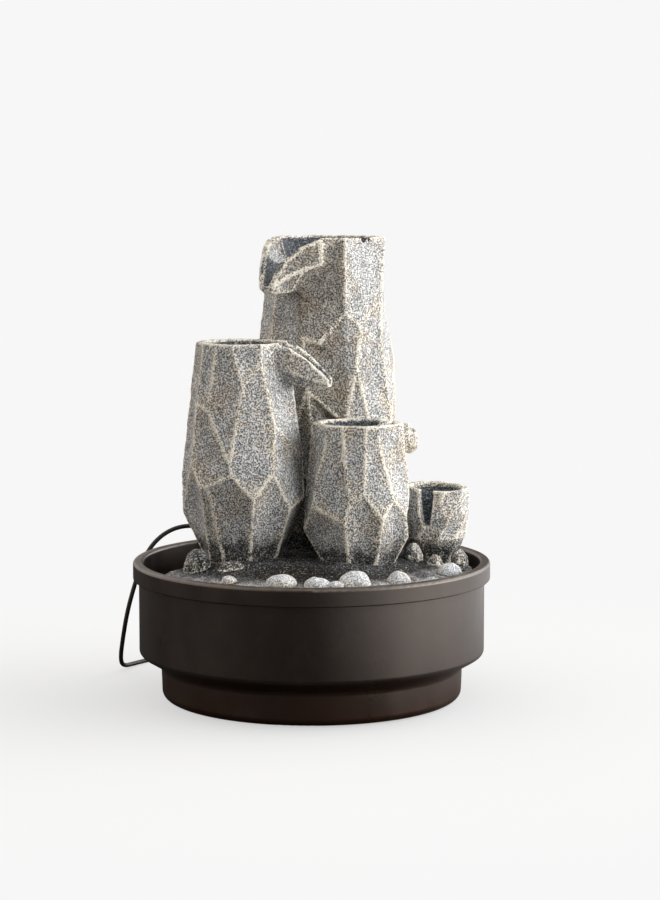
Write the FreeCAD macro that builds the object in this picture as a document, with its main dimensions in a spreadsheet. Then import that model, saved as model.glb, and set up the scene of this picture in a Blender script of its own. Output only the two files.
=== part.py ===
import FreeCAD, Part
import math
import os
import re
import Sketcher
from FreeCAD import Placement, Rotation, Vector

# Tiered water fountain: faceted stone-look pillars with cups, standing on a deck in a round basin.
# Millimetres. +Z is up, the front is -Y, and the origin is the basin's axis on the table.
# Azimuths are in degrees round the vertical, 0 to the front, and grow towards +X.

doc = FreeCAD.newDocument("fountain")
sheet = doc.addObject("Spreadsheet::Sheet", "Sheet")

DIMENSIONS = {
    # basin
    "rim_radius": 140, "rim_height": 109, "rim_band": 14, "rim_wall": 8,
    "wall_radius": 135.5, "wall_thickness": 4, "foot_radius": 118.5, "foot_height": 27,
    "shoulder_height": 37, "floor_thickness": 4, "pad_drop": 1,
    "pad_radius": 8, "pad_thickness": 2.5, "pad_circle": 98,
    # pump
    "pump_x": 13, "pump_y": 62, "pump_axis_height": 26, "pump_width": 44, "pump_height": 32,
    "pump_depth": 40, "pump_bottom": 10, "chamber_radius": 12.5, "chamber_depth": 9,
    "well_radius": 6.6, "well_depth": 24, "shaft_radius": 1.25, "cover_plate": 3,
    "cover_depth": 12, "cover_wall": 2, "spigot_radius": 4.2, "spigot_bore": 2.8,
    "spigot_top": 60, "dial_radius": 4.5, "gland_length": 13,
    # riser
    "tube_bore": 4.25, "tube_radius": 5.8, "tube_bottom": 46, "tube_top": 320,
    # rockwork
    "deck_bottom": 93, "leg_radius": 9, "leg_top_radius": 12, "scoop": 1.4,
    "tall_top": 359.5, "tall_base": 107, "tall_cup_radius": 38, "tall_cup_floor": 334,
    "left_top": 281, "left_base": 111, "left_cup_radius": 29.5, "left_cup_floor": 258,
    "front_top": 219.5, "front_base": 107, "front_cup_radius": 28, "front_cup_floor": 200,
    "small_base": 105, "small_cup_radius": 20.5, "small_cup_floor": 133,
    # lead
    "cord_radius": 1.8, "coil_radius": 22, "coil_thickness": 5.9,
    "plug_radius": 5, "plug_length": 22, "barrel_radius": 2.75, "barrel_length": 9.5,
}

for row, (alias, number) in enumerate(DIMENSIONS.items(), start=1):
    sheet.set(f"A{row}", alias)
    sheet.set(f"B{row}", str(number))
    sheet.setAlias(f"B{row}", alias)
doc.recompute()

PILLAR_PLACES = {"tall": (13, 62), "left": (-53, -18), "front": (36, -26), "small": (98, 10)}


def dim(alias):
    """A driving dimension, read back from the sheet."""
    return float(sheet.get(alias))


def bind(text):
    """The same expression with its aliases looked up in the sheet."""
    return re.sub(r"[a-z][a-z_]+", r"Sheet.\g<0>", text)


def polar(centre, azimuth, radius, height):
    angle = math.radians(azimuth)
    return Vector(centre[0] + radius * math.sin(angle), centre[1] - radius * math.cos(angle), height)


# ---------------------------------------------------------------- building blocks

def primitive(kind, label, place=None, **sizes):
    """A Part primitive whose sizes are expressions of the sheet's cells."""
    piece = doc.addObject("Part::" + kind, label)
    piece.Label = label
    for name, text in sizes.items():
        piece.setExpression(name, bind(text))
    if place is not None:
        piece.Placement = place
    return piece


def at(x, y, z, rotation=None):
    return Placement(Vector(x, y, z), rotation or Rotation())


ALONG_Y = Rotation(Vector(1, 0, 0), -90)
ALONG_MINUS_X = Rotation(Vector(0, 1, 0), -90)


def fuse(label, pieces):
    piece = doc.addObject("Part::MultiFuse", label)
    piece.Label = label
    piece.Shapes = pieces
    return piece


def cut(label, base, tools):
    piece = doc.addObject("Part::Cut", label)
    piece.Label = label
    piece.Base = base
    piece.Tool = tools[0] if len(tools) == 1 else fuse(label + "_tools", tools)
    return piece


def group(label, pieces):
    """Several separate solids kept as one sub-part."""
    piece = doc.addObject("Part::Compound", label)
    piece.Label = label
    piece.Links = pieces
    return piece


def feature(label, shape):
    piece = doc.addObject("Part::Feature", label)
    piece.Label = label
    piece.Shape = shape
    return piece


def rounded(label, base, radius, pick):
    """The base with the picked edges filleted; pick takes an edge."""
    doc.recompute()
    piece = doc.addObject("Part::Fillet", label)
    piece.Label = label
    piece.Base = base
    size = dim(radius) if isinstance(radius, str) else radius
    piece.Edges = [(i + 1, size, size) for i, edge in enumerate(base.Shape.Edges) if pick(edge)]
    return piece


def origin_feature(body, role):
    return next(item for item in body.Origin.OriginFeatures if item.Role == role)


def turned(label, outline, place=None):
    """A PartDesign body: the closed outline of (radius, height) expressions, revolved round Z."""
    body = doc.addObject("PartDesign::Body", label)
    body.Label = label
    sketch = body.newObject("Sketcher::SketchObject", label + "_outline")
    sketch.AttachmentSupport = (origin_feature(body, "XZ_Plane"), [""])
    sketch.MapMode = "FlatFace"
    corners = [Vector(evaluate(r), evaluate(z), 0) for r, z in outline]
    count = len(corners)
    for i in range(count):
        sketch.addGeometry(Part.LineSegment(corners[i], corners[(i + 1) % count]), False)
    for i in range(count):
        sketch.addConstraint(Sketcher.Constraint("Coincident", i, 2, (i + 1) % count, 1))
    for i, (r, z) in enumerate(outline):
        tie(sketch, i, r, "DistanceX", -2)
        tie(sketch, i, z, "DistanceY", -1)
    turn = body.newObject("PartDesign::Revolution", label + "_turn")
    turn.Profile = sketch
    turn.ReferenceAxis = (sketch, ["V_Axis"])
    turn.Angle = 360
    if place is not None:
        body.Placement = place
    return body


def evaluate(text):
    """The number that an expression of the sheet's cells gives."""
    value = re.sub(r"[a-z][a-z_]+", lambda found: str(dim(found.group())), text)
    total = 0.0
    for sign, term in re.findall(r"([+-]?)\s*([\d.]+)", value):
        total += -float(term) if sign == "-" else float(term)
    return total


def tie(sketch, corner, text, kind, axis):
    """Tie one coordinate of a sketch corner to the sheet."""
    value = evaluate(text)
    if abs(value) < 1e-9:
        sketch.addConstraint(Sketcher.Constraint("PointOnObject", corner, 1, axis))
        return
    index = sketch.addConstraint(Sketcher.Constraint(kind, -1, 1, corner, 1, value))
    sketch.setExpression(f"Constraints[{index}]", bind(text))


def triangles_to_solid(triangles):
    faces = []
    for corners in triangles:
        wire = Part.makePolygon(list(corners) + [corners[0]])
        faces.append(Part.Face(wire))
    solid = Part.Solid(Part.Shell(faces))
    if solid.Volume < 0:
        solid.reverse()
    return solid


def skin(rings):
    """A closed solid through rings of points, each ring with the same number of points."""
    triangles = []
    for low, high in zip(rings, rings[1:]):
        count = len(low)
        for i in range(count):
            j = (i + 1) % count
            triangles.append((low[i], low[j], high[j]))
            triangles.append((low[i], high[j], high[i]))
    for ring in (rings[0], rings[-1]):
        middle = sum(ring, Vector()) * (1 / len(ring))
        for i in range(len(ring)):
            triangles.append((middle, ring[i], ring[(i + 1) % len(ring)]))
    return triangles_to_solid(triangles)


# ---------------------------------------------------------------- faceted stones

def radius_at(profile, height):
    for (low, low_radius), (high, high_radius) in zip(profile, profile[1:]):
        if height <= high:
            share = (height - low) / (high - low)
            return low_radius + share * (high_radius - low_radius)
    return profile[-1][1]


def stone(key, profile, rim, base, ridges, facets):
    """A pillar's faceted block: each facet a shallow scoop between ridge corners.

    A ridge corner is (azimuth, height) on the profile, with how far it stands out from it if it does.
    """
    centre = PILLAR_PLACES[key]
    corners = {f"r{i}": polar(centre, a, profile[-1][1], dim(key + "_top")) for i, a in enumerate(rim)}
    corners.update({f"b{i}": polar(centre, a, profile[0][1], dim(key + "_base")) for i, a in enumerate(base)})
    for name, (azimuth, height, *out) in ridges.items():
        corners[name] = polar(centre, azimuth, radius_at(profile, height) + sum(out), height)
    triangles = []
    for facet in facets:
        ring = [corners[name] for name in facet.split()]
        middle = sum(ring, Vector()) * (1 / len(ring))
        outward = Vector(middle.x - centre[0], middle.y - centre[1], 0).normalize()
        middle -= outward * dim("scoop")
        for i in range(len(ring)):
            triangles.append((middle, ring[i], ring[(i + 1) % len(ring)]))
    for prefix, count, height in (("r", len(rim), dim(key + "_top")), ("b", len(base), dim(key + "_base"))):
        ring = [corners[f"{prefix}{i}"] for i in range(count)]
        middle = Vector(centre[0], centre[1], height)
        for i in range(count):
            triangles.append((middle, ring[i], ring[(i + 1) % count]))
    return triangles_to_solid(triangles)


def tall_stone():
    profile = [(107, 49), (150, 52), (190, 57), (217, 58.5), (246, 54.5), (275, 50), (301, 47),
               (321, 44.8), (333, 44.3), (359.5, 45.5)]
    rim = [-84, -36, 17, 84, 122, 160, -162, -124]
    base = [-48, 5, 62, 115, 170, -145, -100]
    ridges = {
        "a": (-31, 323), "b": (-24, 281), "c": (-9, 277), "d": (17, 300), "e": (32, 290), "f": (70, 314),
        "g": (25, 260), "h": (14, 213, -3), "i": (35, 211), "j": (61, 212), "k": (58, 273), "l": (-68, 318),
        "m": (-66, 262), "n": (-17, 240),
        "u1": (92, 262, 1), "u2": (112, 322), "u3": (128, 240), "u4": (150, 310), "u5": (170, 236),
        "u6": (-168, 305), "u7": (-145, 238), "u8": (-124, 312), "u9": (-104, 246, 7), "u10": (-92, 322, 5.5),
        "v0": (-48, 178), "v1": (-10, 170), "v2": (28, 165), "v3": (62, 172), "v4": (95, 180),
        "v5": (128, 168), "v6": (170, 172), "v7": (-145, 166), "v8": (-104, 174),
    }
    facets = [
        "r1 r2 d c b a", "r2 r3 f e d", "d e g h n b c", "f k j i g e", "g i h", "r3 u2 u1 j k f",
        "a b n v0 m l", "r0 r1 a l u10", "r3 r4 u4 u3 u1 u2", "h i j v3 v2 v1 n", "j u1 v4 v3", "u1 u3 v5 v4",
        "r4 r5 u6 u5 u3 u4", "u3 u5 v6 v5", "r5 r6 u8 u7 u5 u6", "u5 u7 v7 v6", "r6 r7 u8",
        "r7 r0 u10 u9 u7 u8", "u7 u9 v8 v7", "u10 l m u9", "u9 m v0 v8", "n v1 v0",
        "v0 v1 b1 b0", "v1 v2 v3 b2 b1", "v3 v4 v5 b3 b2", "v5 v6 b4 b3", "v6 v7 b5 b4", "v7 v8 b6 b5",
        "v8 v0 b0 b6",
    ]
    return stone("tall", profile, rim, base, ridges, facets)


def left_stone():
    profile = [(111, 29), (121, 33.5), (131, 39), (146, 46.5), (160, 49), (190, 47), (221, 43.5),
               (250, 39), (281, 36)]
    rim = [-92, -54, -32, -13, 26, 72, 108, 145, -172, -130]
    base = [62, 12, -28, -60, -92, 100, 150, -168, -128]
    base.sort()
    ridges = {
        "a": (-58, 235), "b": (-38, 231), "c": (-11, 190), "d": (2, 250), "e": (24, 268), "f": (36, 219),
        "g": (31, 184), "h": (11, 164), "i": (-9, 182), "j": (-33, 173), "k": (-41, 171), "l": (-56, 190),
        "m": (51, 155), "o": (-92, 148), "p": (-95, 176),
        "u1": (91, 191), "u2": (104, 210), "u3": (127, 228), "u4": (150, 204), "u5": (171, 226),
        "u6": (-168, 206), "u7": (-147, 228), "u8": (-125, 202), "u9": (-109, 222),
        "v1": (76, 162), "v2": (105, 140), "v3": (130, 160), "v4": (150, 140), "v5": (172, 158),
        "v6": (-168, 140), "v7": (-147, 160), "v8": (-128, 140), "v9": (-108, 162),
    }
    # base corners by azimuth: b0 -168, b1 -128, b2 -92, b3 -60, b4 -28, b5 12, b6 62, b7 100, b8 150
    facets = [
        "r0 r1 a l o p", "r1 r2 b a", "r2 r3 d c b", "r3 r4 e d", "d e f g h i c", "r4 r5 u1 f e",
        "f u1 v1 m g", "b c i j k l a", "h g m b6 b5", "i h b5 b4 j", "j b4 b3 k", "l k b3 b2 o",
        "r5 r6 u2 u1", "r6 r7 u4 u3 u2", "r7 r8 u6 u5 u4", "r8 r9 u8 u7 u6", "r9 r0 p u9 u8",
        "u1 u2 u3 v3 v2 v1", "u3 u4 u5 v5 v4 v3", "u5 u6 u7 v7 v6 v5", "u7 u8 u9 v9 v8 v7", "u9 p o v9",
        "m v1 v2 b7 b6", "v2 v3 v4 b8 b7", "v4 v5 v6 b0 b8", "v6 v7 v8 b1 b0", "v8 v9 o b2 b1",
    ]
    return stone("left", profile, rim, base, ridges, facets)


def front_stone():
    profile = [(107, 28), (113, 31), (122, 38), (135, 43), (147, 43), (160, 41), (175, 38.5),
               (190, 36.5), (206, 35.5), (219.5, 35)]
    rim = [-84, -43, -21, 9, 26, 80, 115, 155, -165, -122]
    base = [-160, -125, -98, -60, -14, 28, 70, 108, 156]
    ridges = {
        "a": (-47, 198), "b": (-58, 179), "c": (-59, 157), "d": (-86, 160), "e": (-17, 187), "f": (-9, 162),
        "g": (-15, 146), "h": (6, 167), "i": (26, 206), "j": (42, 163), "k": (26, 149), "l": (61, 149),
        "m": (67, 133), "n": (84, 165), "o": (-80, 136),
        "u1": (112, 178), "u2": (133, 192), "u3": (155, 172), "u4": (176, 190), "u5": (-160, 172),
        "u6": (-139, 192), "u7": (-118, 174), "u8": (-102, 186),
        "v1": (112, 132), "v2": (134, 148), "v3": (156, 130), "v4": (177, 146), "v5": (-160, 128),
        "v6": (-138, 147), "v7": (-116, 130), "v8": (-100, 146),
    }
    facets = [
        "r0 r1 a b c o d", "r1 r2 e f g c b a", "r2 r3 h f e", "r3 r4 i j k h", "r4 r5 n l j i",
        "f h k b5 b4 g", "c g b4 b3 o", "k j l m b6 b5", "o b3 b2 v8 d",
        "r5 r6 u1 n", "r6 r7 u3 u2 u1", "r7 r8 u5 u4 u3", "r8 r9 u7 u6 u5", "r9 r0 d u8 u7",
        "n u1 u2 v2 v1 m l", "u2 u3 u4 v4 v3 v2", "u4 u5 u6 v6 v5 v4", "u6 u7 u8 v8 v7 v6", "u8 d v8",
        "m v1 b7 b6", "v1 v2 v3 b8 b7", "v3 v4 v5 b0 b8", "v5 v6 v7 b1 b0", "v7 v8 b2 b1",
    ]
    return stone("front", profile, rim, base, ridges, facets)


def small_stone():
    """The small cup's block: staggered rings, and a rim that tips up to the back left."""
    centre = PILLAR_PLACES["small"]
    sides = 9
    rings = []
    for height, radius, shift in ((105, 15, 0), (113, 17, 12), (126, 23.5, 0), (142, 26.5, 20), (154, 25.5, 4)):
        rings.append([polar(centre, shift + 360 * i / sides, radius, height) for i in range(sides)])
    rim = []
    for i in range(sides):
        azimuth = 10 + 360 * i / sides
        rim.append(polar(centre, azimuth, 25.5, 165 - 1.6 * math.cos(math.radians(azimuth - 45))))
    rings.append(rim)
    return skin(rings)


def spout_ring(centre, azimuth, reach, left, right, low, high, chamfer):
    """A section across a spout: a box from low to high with its lower corners cut off."""
    angle = math.radians(azimuth)
    out = Vector(math.sin(angle), -math.cos(angle), 0)
    side = Vector(math.cos(angle), math.sin(angle), 0)
    foot = Vector(centre[0], centre[1], 0) + out * reach
    inset = chamfer * (right - left) / 2
    lift = chamfer * (high - low) * 0.8
    return [foot + side * left + Vector(0, 0, high), foot + side * left + Vector(0, 0, low + lift),
            foot + side * (left + inset) + Vector(0, 0, low), foot + side * (right - inset) + Vector(0, 0, low),
            foot + side * right + Vector(0, 0, low + lift), foot + side * right + Vector(0, 0, high)]


def spout(key, azimuth, sections, chamfer):
    """Sections are (reach from the pillar's axis, left side, right side, lowest, highest)."""
    return skin([spout_ring(PILLAR_PLACES[key], azimuth, *section, chamfer) for section in sections])


def cup_and_hollow(key, hollow_radius, hollow_top_radius, hollow_top):
    """The tapered cup bored from above, and the hollow of the casting from below."""
    x, y = PILLAR_PLACES[key]
    cup = primitive("Cone", key + "_cup", at(x, y, dim(key + "_cup_floor")),
                    Radius1=f"{key}_cup_radius - 5", Radius2=f"{key}_cup_radius + 0.5",
                    Height=f"{key}_top - {key}_cup_floor + 2")
    hollow = primitive("Cone", key + "_hollow", at(x, y, dim(key + "_base") - 1))
    hollow.Radius1 = hollow_radius
    hollow.Radius2 = hollow_top_radius
    hollow.Height = hollow_top - dim(key + "_base") + 1
    return [cup, hollow]


def pillars():
    blocks = {"left": feature("left_block", left_stone()), "front": feature("front_block", front_stone()),
              "tall": feature("tall_block", tall_stone()), "small": feature("small_block", small_stone())}

    tall_beak = feature("tall_beak", spout("tall", -39.5, [
        (26, -33, 30, 324, 359.5), (40, -30, 26, 320, 357.5), (52, -24, 18, 317, 352.5),
        (63, -17, 10.5, 316, 342), (71, -11.5, 7, 316.5, 330), (75, -8, 5.5, 317.5, 321)], 0.62))
    tall_groove = feature("tall_groove", spout("tall", -39.5, [
        (20, -22, 20, 340, 372), (40, -23, 19.5, 336, 372), (52, -17.5, 12.5, 332, 372),
        (63, -11.5, 6, 325, 372), (71, -7.5, 3.5, 318.5, 372), (79, -5, 2.5, 313, 372)], 0.5))
    left_beak = feature("left_beak", spout("left", 75, [
        (24, -16, 16, 256, 281), (41, -13.5, 13.5, 250, 277.5), (53, -11, 11, 247, 269.5),
        (63, -9, 9, 246, 260.5), (70, -7, 7, 247.5, 254)], 0.45))
    left_groove = feature("left_groove", spout("left", 75, [
        (20, -10.5, 10.5, 270, 292), (41, -9, 9, 265, 292), (53, -7.5, 7.5, 258, 292),
        (63, -6, 6, 251.8, 292), (74, -4.5, 4.5, 247.5, 292)], 0.5))
    front_beak = feature("front_beak", spout("front", 126, [
        (24, -14, 14, 198, 219), (40, -12.5, 12.5, 193.5, 217), (48, -10.5, 10.5, 192.6, 211.5),
        (54, -6.5, 6.5, 195, 205)], 0.45))
    front_groove = feature("front_groove", spout("front", 126, [
        (20, -7.5, 7.5, 209, 230), (38, -7, 7, 206.5, 230), (48, -5.5, 5.5, 201.5, 230),
        (58, -4.5, 4.5, 192, 230)], 0.5))
    small_notch = feature("small_notch", spout("small", -22, [
        (6, -4.5, 4.5, 138, 180), (32, -6, 6, 135, 180)], 0.45))

    nozzle_hole = primitive("Cylinder", "nozzle_hole", at(dim("pump_x"), dim("pump_y"), 315),
                            Radius="spigot_radius", Height="30")
    cut("tall_pillar", fuse("tall_mass", [blocks["tall"], tall_beak]),
        cup_and_hollow("tall", 34, 30, 322) + [tall_groove, nozzle_hole])
    cut("left_pillar", fuse("left_mass", [blocks["left"], left_beak]),
        cup_and_hollow("left", 20, 27, 244) + [left_groove])
    cut("front_pillar", fuse("front_mass", [blocks["front"], front_beak]),
        cup_and_hollow("front", 19, 25, 188) + [front_groove])
    x, y = PILLAR_PLACES["small"]
    small_bowl = primitive("Cone", "small_cup_bore", at(x, y, dim("small_cup_floor")),
                           Radius1="small_cup_radius - 4", Radius2="small_cup_radius + 0.5", Height="40")
    cut("small_cup", blocks["small"], [small_bowl, small_notch])
    return blocks


# ---------------------------------------------------------------- deck, boulders, pebbles

DECK_SPOKES = [
    # azimuth, edge radius, edge height, slope radius, slope height, crown height
    (-165, 112, 99, 92, 105, 112), (-150, 96, 99, 80, 104, 112), (-125, 84, 100, 70, 105, 113),
    (-103, 80, 102, 68, 108, 114), (-82, 99, 103, 84, 109, 114), (-70, 122, 103, 98, 110, 115),
    (-52, 127, 101, 103, 107, 114), (-35, 127, 102, 104, 106, 115), (-18, 127, 100, 101, 107, 115),
    (0, 127, 101, 104, 105, 113), (18, 127, 102, 102, 107, 115), (36, 127, 100, 105, 106, 114),
    (55, 127, 102, 103, 108, 114), (72, 127, 101, 104, 107, 113), (88, 127, 102, 106, 108, 113),
    (106, 123, 104, 102, 109, 113), (124, 104, 103, 88, 107, 113), (142, 108, 101, 90, 106, 112),
    (160, 118, 99, 96, 105, 112), (180, 118, 99, 98, 104, 112),
]


def deck_block():
    axis = (0, 0)
    floor = [polar(axis, a, edge - 2, dim("deck_bottom")) for a, edge, *rest in DECK_SPOKES]
    brim = [polar(axis, a, edge, height) for a, edge, height, *rest in DECK_SPOKES]
    slope = [polar(axis, a, radius, height) for a, edge, low, radius, height, crown in DECK_SPOKES]
    crown = [polar(axis, a, edge * 0.55, top) for a, edge, low, radius, height, top in DECK_SPOKES]
    return skin([floor, brim, slope, crown])


def lump(x, y, low, high, width, depth, turn):
    """A small boulder: five staggered rings of seven corners."""
    rings = []
    for share, reach, shift in ((0, 0.8, 0), (0.25, 1.0, 14), (0.6, 0.93, 30), (0.85, 0.66, 8), (1.0, 0.3, 26)):
        ring = []
        for i in range(7):
            angle = math.radians(turn + shift + 360 * i / 7)
            uneven = 1 + 0.09 * math.sin(2.3 * i + turn)
            ring.append(Vector(x + width * reach * uneven * math.cos(angle),
                               y + depth * reach * uneven * math.sin(angle), low + share * (high - low)))
        rings.append(ring)
    return skin(rings)


BOULDERS = {
    # x, y, lowest, highest, half sizes along and across, turn
    "left": [(-87, -46, 99, 124, 10.5, 12, 20), (-60, -60, 99, 117, 13, 8.5, 0)],
    "right": [(79, -15, 99, 124, 10.5, 9.5, 10), (96, -24, 99, 116, 8, 8, 50),
              (115, -12, 101, 119, 8, 10.5, 30), (108, 34, 99, 119, 11, 9, 5)],
}

PEBBLES = [
    # x, y, half sizes along x, y and z, turn
    (-61, -91, 6.5, 5.5, 5.5, 30), (-22, -101, 12, 8.5, 8, 10), (5, -107, 10, 8, 6.5, -12),
    (19, -110, 5.5, 5, 4.5, 0), (33, -99, 12.5, 10, 10, 15), (66, -88, 10, 8, 7.5, -25),
    (106, -47, 11, 8, 7.5, 40),
]


def rockwork(blocks):
    deck = feature("deck_block", deck_block())
    legs = []
    for i, (x, y) in enumerate(((-62, -62), (62, -62), (52, 84), (-44, 44))):
        legs.append(primitive("Cone", f"leg_{i + 1}", at(x, y, dim("pad_drop") + dim("floor_thickness")),
                              Radius1="leg_radius", Radius2="leg_top_radius",
                              Height="deck_bottom - floor_thickness - pad_drop + 1"))
    windows = []
    for key, radius in (("tall", 22), ("left", 17), ("front", 16)):
        x, y = PILLAR_PLACES[key]
        window = primitive("Cylinder", key + "_window", at(x, y, dim("deck_bottom") - 2), Height="40")
        window.Radius = radius
        windows.append(window)
    standing = [blocks[key] for key in ("tall", "left", "front", "small")]
    cut("rock_base", fuse("deck_and_legs", [deck] + legs), standing + windows)

    for side, pillar in (("left", "left"), ("right", "small")):
        seated = []
        for i, sizes in enumerate(BOULDERS[side], start=1):
            block = feature(f"{side}_boulder_{i}", lump(*sizes))
            seated.append(cut(f"{side}_boulder_{i}_seated", block, [deck, blocks[pillar]]))
        group(side + "_boulders", seated)
    pebbles = []
    for i, (x, y, wide, deep, tall, turn) in enumerate(PEBBLES):
        stone_piece = primitive("Ellipsoid", f"pebble_{i + 1}_whole",
                                at(x, y, 106, Rotation(Vector(0, 0, 1), turn)))
        stone_piece.Radius1 = tall
        stone_piece.Radius2 = wide
        stone_piece.Radius3 = deep
        pebbles.append(cut(f"pebble_{i + 1}", stone_piece, [deck]))
    group("pebbles", pebbles)


# ---------------------------------------------------------------- basin

def basin():
    bowl = turned("basin_bowl", [
        ("0", "pad_drop"), ("foot_radius - 1", "pad_drop"), ("foot_radius", "foot_height"),
        ("wall_radius", "shoulder_height"), ("wall_radius", "rim_height - rim_band"),
        ("rim_radius", "rim_height - rim_band"), ("rim_radius", "rim_height"),
        ("rim_radius - rim_wall", "rim_height"), ("wall_radius - wall_thickness", "rim_height - rim_band"),
        ("wall_radius - wall_thickness", "shoulder_height + 2"), ("foot_radius - wall_thickness", "foot_height + 2"),
        ("foot_radius - wall_thickness - 1", "pad_drop + floor_thickness"), ("0", "pad_drop + floor_thickness")])
    doc.recompute()
    rounds = [("foot_radius - 1", "pad_drop", 6), ("foot_radius", "foot_height", 5),
              ("wall_radius", "shoulder_height", 4), ("rim_radius", "rim_height", 2.5),
              ("rim_radius - rim_wall", "rim_height", 2), ("rim_radius", "rim_height - rim_band", 1),
              ("wall_radius - wall_thickness", "shoulder_height + 2", 5)]
    for i, (radius, height, size) in enumerate(rounds):
        before = bowl.Tip
        fillet = bowl.newObject("PartDesign::Fillet", f"basin_round_{i + 1}")
        fillet.Base = (before, [edge_name(before.Shape, evaluate(radius), evaluate(height))])
        fillet.Radius = size
        doc.recompute()
    recesses = [primitive("Cylinder", f"pad_recess_{i + 1}", pad_place(i, 0), Radius="pad_radius",
                          Height="pad_thickness") for i in range(4)]
    cut("basin", bowl, recesses)
    group("foot_pads", [primitive("Cylinder", f"foot_pad_{i + 1}", pad_place(i, 0), Radius="pad_radius",
                                  Height="pad_thickness") for i in range(4)])


def pad_place(index, height):
    spot = polar((0, 0), 45 + 90 * index, dim("pad_circle"), height)
    return at(spot.x, spot.y, spot.z)


def edge_name(shape, radius, height):
    for i, edge in enumerate(shape.Edges):
        if isinstance(edge.Curve, Part.Circle):
            if abs(edge.Curve.Radius - radius) < 0.01 and abs(edge.Curve.Center.z - height) < 0.01:
                return f"Edge{i + 1}"
    raise ValueError(f"no edge of radius {radius} at {height}")


# ---------------------------------------------------------------- pump

def pump():
    x, y, axis = dim("pump_x"), dim("pump_y"), dim("pump_axis_height")
    half = dim("pump_width") / 2
    bottom = dim("pump_bottom")
    top = bottom + dim("pump_height")
    face = y - dim("chamber_depth") / 2
    chamber_end = face + dim("chamber_depth")
    well_end = chamber_end + dim("well_depth")
    plate_face = face - dim("cover_plate")

    block = primitive("Box", "pump_block", at(x - half, face, bottom), Length="pump_width",
                      Width="pump_depth", Height="pump_height")
    block = rounded("pump_block_rounded", block, 3, lambda edge: along(edge, Vector(0, 1, 0)))
    bores = [
        primitive("Cylinder", "chamber_bore", at(x, face - 1, axis, ALONG_Y), Radius="chamber_radius",
                  Height="chamber_depth + 1"),
        primitive("Cylinder", "rotor_well", at(x, face, axis, ALONG_Y), Radius="well_radius",
                  Height="chamber_depth + well_depth"),
        primitive("Cylinder", "rear_bush_seat", at(x, well_end - 1, axis, ALONG_Y), Radius="3", Height="4"),
        primitive("Cylinder", "outlet_bore", at(x, y, axis), Radius="3.5", Height="20"),
        primitive("Cylinder", "dial_bore", at(x + 15, y, top - 6), Radius="2", Height="7"),
        primitive("Cylinder", "gland_bore", at(x - half + 4, y + 18, 30, ALONG_MINUS_X), Radius="3.5", Height="5"),
    ]
    feet_places = [(x - 15, y), (x + 15, y), (x - 15, y + 24), (x + 15, y + 24)]
    for i, (foot_x, foot_y) in enumerate(feet_places):
        bores.append(primitive("Cylinder", f"cup_seat_{i + 1}", at(foot_x, foot_y, bottom - 1),
                               Radius="2.5", Height="3"))
    cut("pump_housing", block, bores)
    suction_cups(feet_places, bottom)

    plate = primitive("Box", "plate_block", at(x - half + 2, plate_face, bottom + 2),
                      Length="pump_width - 4", Width="cover_plate", Height="pump_height - 4")
    plate = rounded("plate_rounded", plate, 2, lambda edge: along(edge, Vector(0, 1, 0)))
    inlets = [primitive("Cylinder", "front_bush_seat", at(x, plate_face - 1, axis, ALONG_Y), Radius="2",
                        Height="cover_plate + 2")]
    for i in range(5):
        spot = Vector(x + 6 * math.sin(i * 2 * math.pi / 5), plate_face - 1, axis + 6 * math.cos(i * 2 * math.pi / 5))
        inlets.append(primitive("Cylinder", f"inlet_{i + 1}", Placement(spot, ALONG_Y), Radius="2.2",
                                Height="cover_plate + 2"))
    cut("volute_cover", plate, inlets)

    primitive("Cylinder", "pump_shaft", at(x, plate_face + 0.5, axis, ALONG_Y), Radius="shaft_radius",
              Height="cover_plate + chamber_depth + well_depth + 2")
    group("shaft_bushings", [bushing("front_bushing", 2, x, plate_face, axis, dim("cover_plate")),
                             bushing("rear_bushing", 3, x, well_end, axis, 3)])
    intake_cover(x, half, plate_face, face, bottom)
    impeller(x, face, chamber_end, well_end, axis)
    outlet(x, y, top)
    flow_dial(x + 15, y, top)
    gland(x - half, y + 18, 30)


def along(edge, direction):
    if not isinstance(edge.Curve, Part.Line):
        return False
    return abs(abs(edge.Curve.Direction.dot(direction)) - 1) < 1e-6


def bushing(label, radius, x, y, z, length):
    ring = primitive("Cylinder", label + "_blank", at(x, y, z, ALONG_Y))
    ring.Radius = radius
    ring.Height = length
    bore = primitive("Cylinder", label + "_bore", at(x, y - 1, z, ALONG_Y), Radius="shaft_radius")
    bore.Height = length + 2
    return cut(label, ring, [bore])


def suction_cups(places, bottom):
    floor = dim("pad_drop") + dim("floor_thickness")
    cups = []
    for i, (x, y) in enumerate(places):
        skirt = primitive("Cone", f"cup_skirt_{i + 1}", at(x, y, floor), Radius1="7.5", Radius2="3.5")
        skirt.Height = bottom - floor
        neck = primitive("Cylinder", f"cup_neck_{i + 1}", at(x, y, bottom - 1), Radius="2.5", Height="3")
        whole = fuse(f"cup_whole_{i + 1}", [skirt, neck])
        dish = primitive("Sphere", f"cup_dish_{i + 1}", at(x, y, floor - 10), Radius="11.5")
        cups.append(cut(f"suction_cup_{i + 1}", whole, [dish]))
    group("suction_cups", cups)


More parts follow.
